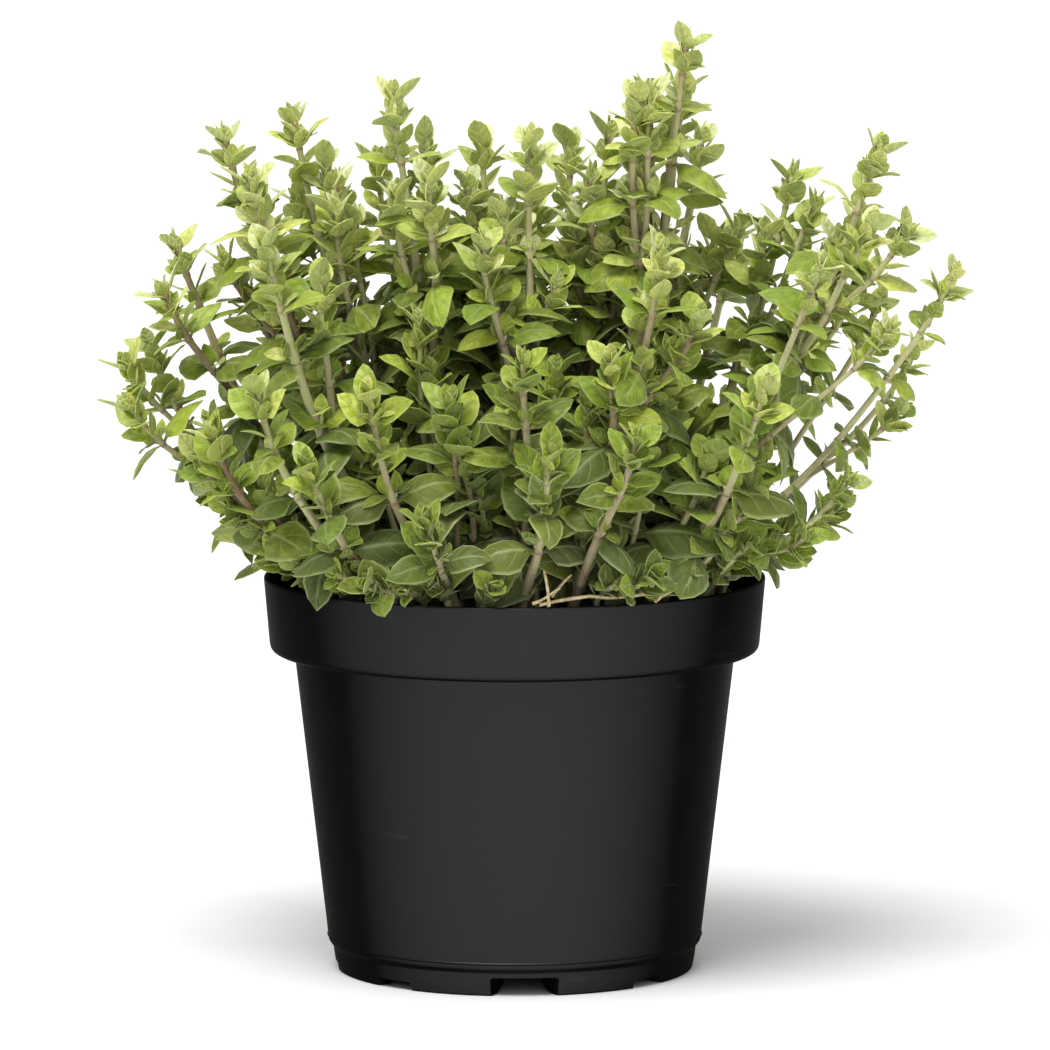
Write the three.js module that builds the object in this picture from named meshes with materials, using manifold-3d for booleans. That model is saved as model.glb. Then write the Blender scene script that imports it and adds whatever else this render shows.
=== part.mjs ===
// Oregano growing in a round plastic nursery pot: the pot, its soil and the leafy stems that stand in it.
// Millimetres, +Z up, -Y is the front. The pot stands on z = 0, and the shapes are laid out round its
// axis. At the end the whole group moves, so that the origin is under the middle of the plant.
import * as THREE from "three";
import { mergeVertices } from "three/addons/utils/BufferGeometryUtils.js";
import Module from "manifold-3d";

const wasm = await Module();
wasm.setup();

// ---- driving dimensions ----
const pot = {
  height: 103,
  rimRadius: 65.3, // outside, at the lip
  lipRound: 0.6,
  collarFootRadius: 63.6, // outside, at the collar's lower edge
  collarFootZ: 83.5,
  collarRound: 1.6,
  neckRadius: 57.4, // outside of the wall, just under the collar
  creaseRadius: 48.6, // where the wall draws in above the feet
  creaseZ: 7.4,
  ringRadius: 47.1,
  ringZ: 3.4,
  footRadius: 46.5,
  footDepth: 8.5, // how far the feet reach inwards
  footRound: 7, // their inner side curves down from the floor over this width
  footRoundSteps: 2,
  wall: 1.3,
  floorZ: 5, // underside of the raised floor
  floorWall: 1.5,
  innerRound: 0.9,
  sides: 32,
};
const notch = {
  count: 8,
  wide: { outerWidth: 21.5, innerWidth: 8, height: 4.9 },
  narrow: { outerWidth: 13, innerWidth: 8, height: 2.2 },
  wideEvery: 4, // so the wide ones are at the front and the back
  turn: 3.2, // degrees from the front to the middle of the first notch
  drainRadius: 3.2, // hole through the floor over each notch
  drainFromAxis: 41.5,
  drainSides: 6,
};
const soil = { topZ: 97, gap: 0.3, crown: 1.6, flatShare: 0.6, sides: 24 };
const stem = {
  footRadius: 1.45,
  fullLength: 130, // a shorter stem has a thinner foot
  thinnest: 0.6, // share of footRadius that a very short one has
  shootRadius: 0.95, // where a side shoot leaves its stem
  tipRadius: 0.6,
  cornerShare: 1.15, // corners of the square section stand out past its mean radius
  rootDepth: 13, // how deep the stem stands in the soil
  holeGap: 0.35,
  stepLength: 32,
  rise: 9, // a stem leaves the soil upright over this length
  bareFoot: 9, // length above the soil that carries no leaves
  bendShare: 0.62, // how far up the outward sag is
  forkShare: 0.5, // how far up its stem a side shoot leaves it
  shootStart: 0.3, // share of its way over which a side shoot leaves its stem straight
  shootSag: 3,
};
const leaf = {
  thickness: 1.2, // at the midrib, thinner to the edges
  midribShare: 0.3, // part of the thickness that is above the edges' own level
  thickestAt: 0.5, // share of the length
  tipLength: 8.6,
  growth: 0.15, // gain in length for each millimetre down from the stem's tip
  mostLength: 15,
  widthShare: 0.64, // width over length
  cup: 0.26, // how far the edges stand above the midrib, over the half width
  rootOffset: 0.3, // from the stem's axis, so that the root is sunk in the stem
  clearance: 0.45, // room that a leaf keeps to other stems, the pot and the soil
  seamDetail: 0.03, // slivers thinner than this are dropped where leaves meet their stem
  topReach: 5, // how far the topmost leaves reach past the end of their stem
};
const pairs = {
  first: 1.5, // from the stem's tip down to the first pair
  gap: 5, // between the two pairs nearest to the tip
  gapGrowth: 1.5,
  mostGap: 16.5,
  small: 2, // pairs at the tip that have the small outline
  wholePerLength: 0.02, // whole pairs for each millimetre of stem: lower ones have only the outer leaf
};
// How leaves are held, in radians: young ones point up and bend in, old ones spread and hang.
const habit = {
  youngRise: 0.8,
  riseLoss: 0.019, // for each millimetre down from the tip
  leastRise: -0.35,
  riseSpread: 0.28,
  turnSpread: 0.3,
  rollSpread: 0.4,
  lengthSpread: 0.16,
  youngBend: -0.4, // tip of the leaf over its length, up if negative
  oldBend: 0.06,
  bendSpread: 0.24,
  grownAt: 22, // distance from the stem's tip at which a leaf counts as old
  sideLight: 0.7, // how much the upper face looks away from the plant's middle
  topLight: 0.5, // how much it looks to the sky
};
// Half outlines of a leaf, as [share of the length, share of the half width].
const largeOutline = [
  [0.27, 0.74],
  [0.52, 1],
  [0.8, 0.64],
];
const smallOutline = [
  [0.36, 0.96],
  [0.74, 0.76],
];

// Each stem: where it leaves the soil (x, y), where its topmost leaves end (x, y, z), how far its middle
// sags outwards, and where its side shoots end.
const stems = [
  { foot: [-48, 8], tip: [-98, 10, 166], sag: 9, shoots: [[-103, -12, 151]] },
  { foot: [-43, 17], tip: [-91, 27, 191], sag: 6, shoots: [[-93, -5, 181]] },
  { foot: [-30, -6], tip: [-77, 4, 221], sag: 5, shoots: [[-69, -16, 212]] },
  { foot: [-22, 12], tip: [-59, 20, 225], sag: 4, shoots: [[-47, 3, 203]] },
  { foot: [-11, 1], tip: [-32, 1, 232], sag: 3, shoots: [[-22, -21, 212]] },
  { foot: [-16, 25], tip: [-37, 38, 212], sag: 3, shoots: [] },
  { foot: [-32, -19], tip: [-65, -40, 197], sag: 5, shoots: [[-50, -26, 187]] },
  { foot: [-47, -22], tip: [-80, -35, 148], sag: 6, shoots: [] },
  { foot: [-40, -31], tip: [-67, -56, 161], sag: 5, shoots: [] },
  { foot: [-33, -38], tip: [-54, -68, 143], sag: 4, shoots: [] },
  { foot: [-20, -34], tip: [-38, -63, 161], sag: 5, shoots: [] },
  { foot: [-14, -46], tip: [-23, -76, 129], sag: 3, shoots: [] },
  { foot: [0, 14], tip: [-9, 21, 219], sag: 2, shoots: [] },
  { foot: [2, -14], tip: [4, -12, 222], sag: 0, shoots: [[-9, -27, 196]] },
  { foot: [7, 34], tip: [15, 46, 216], sag: 3, shoots: [] },
  { foot: [12, 4], tip: [25, 12, 222], sag: 2, shoots: [] },
  { foot: [22, -2], tip: [45, 1, 246], sag: 3, shoots: [[31, -15, 233]] },
  { foot: [24, 22], tip: [50, 33, 219], sag: 4, shoots: [] },
  { foot: [17, -30], tip: [38, -55, 197], sag: 4, shoots: [[24, -61, 169]] },
  { foot: [31, 36], tip: [60, 56, 191], sag: 5, shoots: [] },
  { foot: [36, 14], tip: [74, 19, 210], sag: 6, shoots: [] },
  { foot: [36, -5], tip: [96, -9, 219], sag: 7, shoots: [[93, -34, 201]] },
  { foot: [33, -23], tip: [80, -50, 193], sag: 6, shoots: [[99, -52, 176]] },
  { foot: [46, 5], tip: [99, 17, 181], sag: 7, shoots: [] },
  { foot: [43, -14], tip: [116, -16, 187], sag: 9, shoots: [[104, -8, 150]] },
  { foot: [48, 19], tip: [109, 34, 163], sag: 8, shoots: [] },
  { foot: [47, -22], tip: [89, -32, 135], sag: 5, shoots: [[77, -45, 120]] },
  { foot: [51, 3], tip: [90, 8, 124], sag: 3, shoots: [] },
  { foot: [38, -33], tip: [65, -62, 162], sag: 5, shoots: [] },
  { foot: [14, -47], tip: [32, -76, 151], sag: 4, shoots: [] },
  { foot: [2, -49], tip: [10, -78, 147], sag: 3, shoots: [] },
  { foot: [4, -34], tip: [2, -60, 169], sag: 4, shoots: [] },
  { foot: [-27, -45], tip: [-39, -69, 111], sag: 0, shoots: [] },
  { foot: [24, -47], tip: [37, -70, 114], sag: 0, shoots: [] },
  { foot: [-41, 30], tip: [-84, 58, 139], sag: 6, shoots: [] },
  { foot: [-32, 34], tip: [-68, 64, 172], sag: 6, shoots: [[-47, 56, 205]] },
  { foot: [-15, 46], tip: [-36, 84, 163], sag: 5, shoots: [] },
  { foot: [-3, 38], tip: [-10, 74, 197], sag: 5, shoots: [] },
  { foot: [8, 50], tip: [14, 86, 157], sag: 4, shoots: [] },
  { foot: [19, 44], tip: [38, 78, 182], sag: 5, shoots: [] },
  { foot: [36, 38], tip: [68, 76, 152], sag: 6, shoots: [] },
  { foot: [41, 24], tip: [87, 53, 176], sag: 6, shoots: [] },
];

// Leafless dry stalks of older growth, near the front.
const dryStalks = [
  { foot: [-9, -27], tip: [-15, -30, 122], sag: 0, shoots: [] },
  { foot: [-17, -23], tip: [-29, -31, 114], sag: 0, shoots: [] },
  { foot: [10, -24], tip: [33, -37, 109], sag: 0, shoots: [] },
];

// ---- helpers ----

// A repeatable number from 0 to 1 for three whole numbers.
function chance(key, node, item) {
  const wave = Math.sin(key * 12.9898 + node * 78.233 + item * 37.719) * 43758.5453;
  return wave - Math.floor(wave);
}

// A repeatable number from -reach to reach.
const spread = (key, node, item, reach) => (2 * chance(key, node, item) - 1) * reach;

function solidOf(geometry) {
  const bare = geometry.clone();
  bare.deleteAttribute("normal");
  bare.deleteAttribute("uv");
  const merged = mergeVertices(bare);
  return closedSolid(merged.attributes.position.array, merged.index.array);
}

function closedSolid(coordinates, faces) {
  const vertProperties = new Float32Array(coordinates);
  return new wasm.Manifold(
    new wasm.Mesh({ numProp: 3, vertProperties, triVerts: new Uint32Array(faces) }),
  );
}

const coordinatesOf = (points) => points.flatMap((point) => point.toArray());

function geometryOf(solid) {
  const { numProp, vertProperties, triVerts } = solid.getMesh();
  const geometry = new THREE.BufferGeometry();
  geometry.setAttribute("position", new THREE.BufferAttribute(vertProperties, numProp));
  geometry.setIndex(new THREE.BufferAttribute(triVerts, 1));
  const faceted = geometry.toNonIndexed();
  faceted.computeVertexNormals();
  return faceted;
}

// A closed round solid from a profile of [radius, z] points, with its axis along +Z.
function turned(profile, sides) {
  const points = profile.map(([radius, z]) => new THREE.Vector2(radius, z));
  return solidOf(new THREE.LatheGeometry(points, sides).rotateX(Math.PI / 2));
}

const cutAll = (body, cuts) => cuts.reduce((rest, cut) => rest.subtract(cut), body);

// ---- pot ----
const floorTop = pot.floorZ + pot.floorWall;
const shelfZ = pot.collarFootZ + pot.wall; // inside, where the wall widens into the collar

function potSolid() {
  const { wall, lipRound, innerRound } = pot;
  const profile = [
    [0, pot.floorZ],
    ...footCurve(),
    [pot.footRadius, 0],
    [pot.ringRadius, pot.ringZ],
    [pot.creaseRadius, pot.creaseZ],
    [pot.neckRadius, pot.collarFootZ],
    [pot.collarFootRadius - pot.collarRound, pot.collarFootZ],
    [pot.collarFootRadius, pot.collarFootZ + pot.collarRound],
    [pot.rimRadius, pot.height - lipRound],
    [pot.rimRadius - wall / 2, pot.height],
    [pot.rimRadius - wall, pot.height - lipRound],
    [pot.collarFootRadius - wall, shelfZ + innerRound],
    [pot.neckRadius - wall, shelfZ],
    [pot.creaseRadius - wall, floorTop + innerRound],
    [pot.creaseRadius - wall - innerRound, floorTop],
    [0, floorTop],
  ];
  return cutAll(turned(profile, pot.sides), [...notchCuts(), ...drainCuts()]);
}

// The inner side of the feet, from the floor's underside down to the flat that stands on the ground.
function footCurve() {
  return Array.from({ length: pot.footRoundSteps + 1 }, (_, i) => {
    const angle = ((i / pot.footRoundSteps) * Math.PI) / 2;
    const radius = pot.footRadius - pot.footDepth + pot.footRound * (1 - Math.cos(angle));
    return [radius, pot.floorZ * (1 - Math.sin(angle))];
  });
}

const roundTheFeet = (makeCut) =>
  Array.from({ length: notch.count }, (_, i) => {
    const turn = THREE.MathUtils.degToRad(notch.turn) + (i * 2 * Math.PI) / notch.count;
    return solidOf(makeCut(i % notch.wideEvery ? notch.narrow : notch.wide).rotateZ(turn));
  });

// Wedges that open the foot ring, wide outside and narrow inside.
function notchCuts() {
  const past = 3;
  const outer = pot.ringRadius + past;
  const inner = pot.footRadius - pot.footDepth - past / 2;
  return roundTheFeet(({ outerWidth, innerWidth, height }) => {
    const plan = new THREE.Shape([
      new THREE.Vector2(-innerWidth / 2, -inner),
      new THREE.Vector2(-outerWidth / 2, -outer),
      new THREE.Vector2(outerWidth / 2, -outer),
      new THREE.Vector2(innerWidth / 2, -inner),
    ]);
    const upTo = { depth: height + past, bevelEnabled: false };
    return new THREE.ExtrudeGeometry(plan, upTo).translate(0, 0, -past);
  });
}

function drainCuts() {
  const { drainRadius, drainFromAxis, drainSides } = notch;
  return roundTheFeet(() =>
    new THREE.CylinderGeometry(drainRadius, drainRadius, floorTop, drainSides)
      .rotateX(Math.PI / 2)
      .translate(0, -drainFromAxis, pot.floorZ),
  );
}

// ---- soil ----
function soilSolid(holes) {
  const wallInside = (z) => {
    const share = (z - pot.creaseZ) / (pot.collarFootZ - pot.creaseZ);
    return THREE.MathUtils.lerp(pot.creaseRadius, pot.neckRadius, share) - pot.wall - soil.gap;
  };
  const bottom = floorTop + soil.gap;
  const cornerRound = 3;
  const shelf = shelfZ + pot.innerRound + soil.gap;
  const collarInside = pot.collarFootRadius - pot.wall - 2 * soil.gap;
  const profile = [
    [0, bottom],
    [wallInside(bottom) - cornerRound, bottom],
    [wallInside(bottom + cornerRound), bottom + cornerRound],
    [wallInside(pot.collarFootZ), shelf],
    [collarInside, shelf + 2 * soil.gap],
    [collarInside, soil.topZ - soil.crown],
    [collarInside * soil.flatShare, soil.topZ],
    [0, soil.topZ],
  ];
  return cutAll(turned(profile, soil.sides), holes);
}

function holeCut([main]) {
  const radius = footRadius(main) + stem.holeGap;
  const bottom = main.points[0].clone().setZ(soil.topZ - stem.rootDepth - stem.holeGap);
  const top = bottom.clone().setZ(soil.topZ + soil.crown);
  return squareTube([{ at: bottom, radius }, { at: top, radius }], main.turn);
}

// ---- stems ----

// The lines that leaves grow from: the stem's own, and one for each side shoot.
function stemLines({ foot, tip, sag, shoots }, key) {
  const start = new THREE.Vector3(foot[0], foot[1], soil.topZ + soil.gap);
  const upright = start.clone().setZ(start.z + stem.rise);
  const main = growthLine(start, upright, new THREE.Vector3(...tip), sag, key);
  const sides = shoots.map((shootTip, i) => {
    const fork = placeAt(main, stem.forkShare);
    const reach = new THREE.Vector3(...shootTip);
    const low = fork.clone().lerp(reach, stem.shootStart);
    return growthLine(fork, low, reach, stem.shootSag, key + i + 1);
  });
  return [main, ...sides];
}

// A line to grow along: its points, its length and the turn of its square section.
function growthLine(start, low, reach, sag, key) {
  const length = start.distanceTo(reach) - leaf.topReach;
  const end = start.clone().lerp(reach, length / (length + leaf.topReach));
  const out = new THREE.Vector3(end.x - start.x, end.y - start.y, 0).normalize();
  const high = start.clone().lerp(end, stem.bendShare).addScaledVector(out, sag);
  high.z -= sag;
  const steps = Math.max(2, Math.round(length / stem.stepLength));
  const points = new THREE.CubicBezierCurve3(start, low, high, end).getPoints(steps);
  return { key, points, length, turn: chance(key, 0, 9) * Math.PI };
}

// The point at a share of a line's steps.
function placeAt({ points }, share) {
  const place = share * (points.length - 1);
  const step = Math.min(Math.floor(place), points.length - 2);
  return points[step].clone().lerp(points[step + 1], place - step);
}

const footRadius = ({ length }) =>
  stem.footRadius * THREE.MathUtils.lerp(stem.thinnest, 1, Math.min(1, length / stem.fullLength));

// Oregano stems are square: four sides, thinner towards the tip.
function stemSolid([main, ...sides]) {
  const radius = footRadius(main);
  const root = { at: main.points[0].clone().setZ(soil.topZ - stem.rootDepth), radius };
  const stalk = squareTube([root, ...ringsAlong(main, radius)], main.turn);
  return sides.reduce(
    (body, side) => body.add(squareTube(ringsAlong(side, stem.shootRadius), side.turn)),
    stalk,
  );
}

function ringsAlong({ points }, startRadius) {
  const last = points.length - 1;
  return points.map((at, i) => ({
    at,
    along: points[Math.min(i + 1, last)].clone().sub(points[Math.max(i - 1, 0)]).normalize(),
    radius: THREE.MathUtils.lerp(startRadius, stem.tipRadius, i / last),
  }));
}

// A closed four-sided tube through rings of { at, along, radius }; a ring with no direction lies level.
function squareTube(rings, turn) {
  const level = new THREE.Vector3(0, 0, 1);
  const corners = rings.flatMap(({ at, along = level, radius }) =>
    [0.5, 1.5, 2.5, 3.5].map((quarter) =>
      at.clone().addScaledVector(across(along, turn + quarter * (Math.PI / 2)), radius * stem.cornerShare),
    ),
  );
  const faces = [0, 1, 2, 0, 2, 3];
  for (let i = 0; i + 1 < rings.length; i++)
    for (let k = 0; k < 4; k++) {
      const a = 4 * i + k;
      const b = 4 * i + ((k + 1) % 4);
      faces.push(a, b + 4, b, a, a + 4, b + 4);
    }
  const top = 4 * (rings.length - 1);
  faces.push(top, top + 2, top + 1, top, top + 3, top + 2);
  return closedSolid(coordinatesOf(corners), faces);
}

// The direction square to a line, at an angle round it.
function across(along, angle) {
  const side = new THREE.Vector3().crossVectors(along, new THREE.Vector3(1, 0, 0)).normalize();
  const front = new THREE.Vector3().crossVectors(side, along);
  return side.multiplyScalar(Math.cos(angle)).addScaledVector(front, Math.sin(angle));
}

// ---- leaves ----

// Distance from the tip down to each leaf pair: close together at the tip, further apart below.
function pairDistances(length) {
  const distances = [];
  let gap = pairs.gap;
  for (let distance = pairs.first; distance < length - stem.bareFoot; ) {
    distances.push(distance);
    distance += gap;
    gap = Math.min(gap * pairs.gapGrowth, pairs.mostGap);
  }
  return distances;
}

// Each leaf of a line. Leaves stand in opposite pairs, on the flat sides of the stem, and each pair is
// square to the next.
function leavesOf(line) {
  return pairDistances(line.length).flatMap((distance, node) =>
    [0, 1].map((twin) => leafPlan(line, distance, node, twin)),
  );
}

function leafPlan(line, distance, node, twin) {
  const draw = (item, reach) => spread(line.key, node, item + twin, reach);
  const share = 1 - distance / line.length;
  const nearby = 0.06;
  const place = placeAt(line, share);
  const along = placeAt(line, Math.min(1, share + nearby)).sub(placeAt(line, share - nearby)).normalize();
  const outward = new THREE.Vector3(place.x, place.y, 0).normalize();
  const radial = across(along, line.turn + (node + 2 * twin) * (Math.PI / 2) + draw(0, habit.turnSpread));
  const rise = Math.max(habit.youngRise - distance * habit.riseLoss, habit.leastRise);
  const pitch = rise + draw(2, habit.riseSpread);
  const direction = radial.clone().multiplyScalar(Math.cos(pitch)).addScaledVector(along, Math.sin(pitch));
  const age = Math.min(1, distance / habit.grownAt);
  const size = Math.min(leaf.tipLength + distance * leaf.growth, leaf.mostLength);
  const oldBend = habit.oldBend + habit.bendSpread * chance(line.key, node, 10 + twin);
  return {
    node,
    grows: node < line.length * pairs.wholePerLength || radial.dot(outward) > 0,
    outline: node < pairs.small ? smallOutline : largeOutline,
    root: place.addScaledVector(radial, leaf.rootOffset),
    direction,
    normal: leafNormal(direction, along, outward, draw(4, habit.rollSpread)),
    length: size * (1 + draw(6, habit.lengthSpread)),
    bend: THREE.MathUtils.lerp(habit.youngBend, oldBend, age),
  };
}

// The upper face looks along the stem, to the sky and away from the plant's middle, with a little roll.
function leafNormal(direction, along, outward, roll) {
  const normal = along.clone().addScaledVector(outward, habit.sideLight);
  normal.z += habit.topLight;
  normal.addScaledVector(direction, -normal.dot(direction)).normalize();
  return normal.applyAxisAngle(direction, roll);
}

// An ovate blade with a smooth edge, cupped along its midrib: an outline round a thick middle.
function leafSolid({ outline, root, direction, normal, length, bend }, grow = 0) {
  const sideways = new THREE.Vector3().crossVectors(normal, direction);
  const half = (length * leaf.widthShare) / 2 + grow;
  const at = (share, width, lift) =>
    root
      .clone()
      .addScaledVector(direction, share * (length + grow))
      .addScaledVector(sideways, width * half)
      .addScaledVector(normal, lift + leaf.cup * Math.abs(width) * half - bend * length * share * share);
  const left = outline.map(([share, width]) => at(share, width, 0));
  const right = outline.map(([share, width]) => at(share, -width, 0)).reverse();
  const rim = [at(0, 0, 0), ...left, at(1, 0, 0), ...right];
  const upper = at(leaf.thickestAt, 0, leaf.thickness * leaf.midribShare + grow);
  const lower = at(leaf.thickestAt, 0, leaf.thickness * (leaf.midribShare - 1) - grow);
  const faces = rim.flatMap((_, i) => {
    const next = (i + 1) % rim.length;
    return [next, i, rim.length, i, next, rim.length + 1];
  });
  return closedSolid(coordinatesOf([...rim, upper, lower]), faces);
}

// ---- putting it together ----
const keyStep = 10; // keys of a stem's own lines lie within one step
const lines = stems.map((plan, i) => stemLines(plan, i * keyStep));
const dryLines = dryStalks.map((plan, i) => stemLines(plan, (stems.length + i) * keyStep));
const leafyStems = lines.map(stemSolid);
const dryBodies = dryLines.map(stemSolid);
const potBody = potSolid();
const soilBody = soilSolid([...lines, ...dryLines].map(holeCut));

// What a new leaf has to stay clear of, with the stem that it belongs to.
const taken = [];
const take = (solid, owner) => taken.push({ solid, box: solid.boundingBox(), owner });
[potBody, soilBody, ...dryBodies].forEach((solid) => take(solid, null));
leafyStems.forEach(take);

const boxesMeet = (a, b) => [0, 1, 2].every((k) => a.min[k] < b.max[k] && b.min[k] < a.max[k]);
function isFree(solid, owner) {
  const box = solid.boundingBox();
  return taken.every(
    (other) => other.owner === owner || !boxesMeet(box, other.box) || solid.intersect(other.solid).isEmpty(),
  );
}

// Leaves are added from the tips down, one level of all stems at a time, where there is room for them.
const plans = lines.map((ownLines) => ownLines.flatMap(leavesOf).filter(({ grows }) => grows));
const levels = 1 + Math.max(...plans.flat().map(({ node }) => node));
for (let level = 0; level < levels; level++)
  plans.forEach((ownPlans, owner) =>
    ownPlans
      .filter(({ node }) => node === level)
      .forEach((plan) => {
        if (!isFree(leafSolid(plan, leaf.clearance), owner)) return;
        const blade = leafSolid(plan);
        take(blade, owner);
        leafyStems[owner] = leafyStems[owner].add(blade);
      }),
  );

// ---- the group ----
const materials = {
  pot: new THREE.MeshStandardMaterial({ color: 0x1f1f21, roughness: 0.5, metalness: 0 }),
  soil: new THREE.MeshStandardMaterial({ color: 0x2b1e16, roughness: 0.95, metalness: 0 }),
  leafyStem: new THREE.MeshStandardMaterial({ color: 0x7f9c3d, roughness: 0.6, metalness: 0 }),
  dryStalk: new THREE.MeshStandardMaterial({ color: 0xc9b78c, roughness: 0.8, metalness: 0 }),
};

const oregano = new THREE.Group();
function addNode(name, solid, material) {
  const mesh = new THREE.Mesh(geometryOf(solid), material);
  mesh.name = name;
  oregano.add(mesh);
}
const numbered = (name, i) => name + "_" + String(i + 1).padStart(2, "0");
addNode("pot", potBody, materials.pot);
addNode("soil", soilBody, materials.soil);
leafyStems
  .map((solid) => solid.simplify(leaf.seamDetail))
  .forEach((solid, i) => addNode(numbered("leafy_stem", i), solid, materials.leafyStem));
dryBodies.forEach((solid, i) => addNode(numbered("dry_stalk", i), solid, materials.dryStalk));

const middle = new THREE.Box3().setFromObject(oregano).getCenter(new THREE.Vector3());
oregano.position.set(-middle.x, -middle.y, 0);

export default oregano;
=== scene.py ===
# Oregano in a round nursery pot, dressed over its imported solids. The plant is grown again here, finer, along
# the same lines as its solids. Lengths are millimetres round the pot's own axis until a piece is finished.
import math

import bmesh
import bpy
from mathutils import Matrix, Quaternion, Vector, noise


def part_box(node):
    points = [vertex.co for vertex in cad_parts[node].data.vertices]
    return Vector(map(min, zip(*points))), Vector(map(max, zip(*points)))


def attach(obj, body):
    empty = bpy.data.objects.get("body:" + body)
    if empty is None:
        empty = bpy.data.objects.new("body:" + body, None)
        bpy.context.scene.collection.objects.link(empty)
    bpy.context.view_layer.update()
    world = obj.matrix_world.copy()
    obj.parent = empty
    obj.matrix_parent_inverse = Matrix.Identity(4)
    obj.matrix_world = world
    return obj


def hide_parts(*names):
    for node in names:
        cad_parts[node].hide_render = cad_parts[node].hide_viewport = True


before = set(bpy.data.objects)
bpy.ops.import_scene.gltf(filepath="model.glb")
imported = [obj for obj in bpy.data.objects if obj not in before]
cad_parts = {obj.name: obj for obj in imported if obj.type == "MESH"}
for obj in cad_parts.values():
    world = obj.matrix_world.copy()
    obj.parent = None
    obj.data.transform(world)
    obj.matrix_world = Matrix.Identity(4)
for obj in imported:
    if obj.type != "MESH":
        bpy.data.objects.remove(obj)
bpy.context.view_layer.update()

mm = 0.001
fullTurn = 2 * math.pi
# The first layer holds each point's age, and on leaves also the painted shade of the low ones.
plantLayers = ("age", "tint")  # what each point of the plant tells its material
potLow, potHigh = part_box("pot")
potHeight = potHigh.z / mm
rimRadius = (potHigh.x - potLow.x) / 2 / mm
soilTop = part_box("soil")[1].z / mm
potMiddle = (potLow + potHigh) / 2
fromPotAxis = Matrix.Translation((potMiddle.x, potMiddle.y, 0)) @ Matrix.Scale(mm, 4)
print("frame: pot", round(rimRadius, 1), "x", round(potHeight, 1), "mm, soil at", round(soilTop, 1))


def hexColor(code):
    # sRGB hex to the linear values that shaders want
    channels = [int(code[i:i + 2], 16) / 255 for i in (1, 3, 5)]
    return [c / 12.92 if c <= 0.04045 else ((c + 0.055) / 1.055) ** 2.4 for c in channels] + [1.0]


def setInputs(tree, node, links):
    # each value is a plain one, a socket, or a node whose first output is taken
    for key, value in links.items():
        if isinstance(value, bpy.types.Node):
            value = next(output for output in value.outputs if output.enabled)
        if isinstance(value, bpy.types.NodeSocket):
            tree.links.new(value, node.inputs[key])
        else:
            node.inputs[key].default_value = value


def addNode(tree, kind, links=None, stops=(), **settings):
    # one node with its settings and links; stops are the places and colours of a colour ramp
    node = tree.nodes.new("ShaderNode" + kind)
    for name, value in settings.items():
        setattr(node, name, value)
    for i, (place, code) in enumerate(stops):
        elements = node.color_ramp.elements
        element = elements[i] if i < 2 else elements.new(1.0)
        element.position, element.color = place, hexColor(code)
    setInputs(tree, node, links or {})
    return node


def newMaterial(name):
    material = bpy.data.materials.new(name)
    material.use_nodes = True
    return material, material.node_tree, material.node_tree.nodes["Principled BSDF"]


def perMm(size):
    # noise scale for blotches of this size in millimetres
    return 1 / (size * mm)


def onceEach(elements):
    # each mesh element once, in an order that is the same in each run
    return list(dict.fromkeys(elements))


def meshObject(bm, name):
    mesh = bpy.data.meshes.new(name)
    bm.to_mesh(mesh)
    bm.free()
    made = bpy.data.objects.new(name, mesh)
    bpy.context.scene.collection.objects.link(made)
    return made


def finishPiece(bm, name, materials, slotName, *nodes):
    # turns a bmesh in millimetres round the pot's axis into a piece in the row's frame
    bmesh.ops.transform(bm, matrix=fromPotAxis, verts=bm.verts)
    piece = meshObject(bm, name)
    for material in materials:
        piece.data.materials.append(material)
    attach(piece, "root")
    if nodes:
        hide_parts(*nodes)


def smoothAll(bm):
    for face in bm.faces:
        face.smooth = True


def addRod(bm, start, end, sides, startRadius, endRadius):
    lay = (end - start).to_track_quat("Z", "Y").to_matrix().to_4x4()
    return bmesh.ops.create_cone(
        bm, cap_ends=True, segments=sides, radius1=startRadius, radius2=endRadius,
        depth=(end - start).length, matrix=Matrix.Translation(start.lerp(end, 0.5)) @ lay,
    )["verts"]


def chance(key, node, item):
    # a repeatable number from 0 to 1 for three whole numbers
    wave = math.sin(key * 12.9898 + node * 78.233 + item * 37.719) * 43758.5453
    return wave - math.floor(wave)


def spread(key, node, item, reach):
    return (2 * chance(key, node, item) - 1) * reach


def mixed(low, high, share):
    return low + (high - low) * share


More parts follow.
